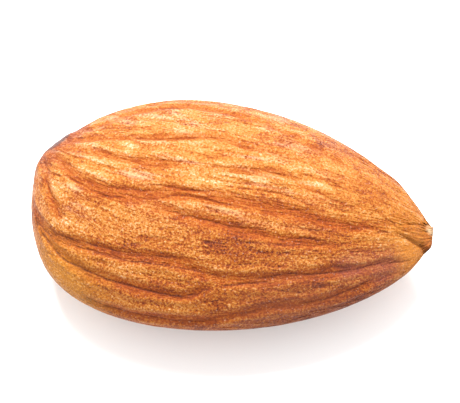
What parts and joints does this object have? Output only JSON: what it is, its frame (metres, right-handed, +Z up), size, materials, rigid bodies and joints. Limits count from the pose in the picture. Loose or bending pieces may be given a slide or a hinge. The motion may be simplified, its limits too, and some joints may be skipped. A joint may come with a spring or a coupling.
{
  "type": "almond",
  "caption": "Whole almond kernel in its wrinkled brown skin, lying on its broad face.",
  "frame": {"origin": "on the surface that the kernel lies on, under the middle of its outline", "axes": "+X along the kernel towards its point, +Y across its breadth towards the side of the dark scar, +Z up through its thickness"},
  "size_m": [0.0242, 0.0144, 0.0081],
  "materials": {
    "skin": "dry, finely wrinkled seed skin"
  },
  "bodies": {
    "root": {"almond_kernel": "skin"}
  },
  "joints": []
}
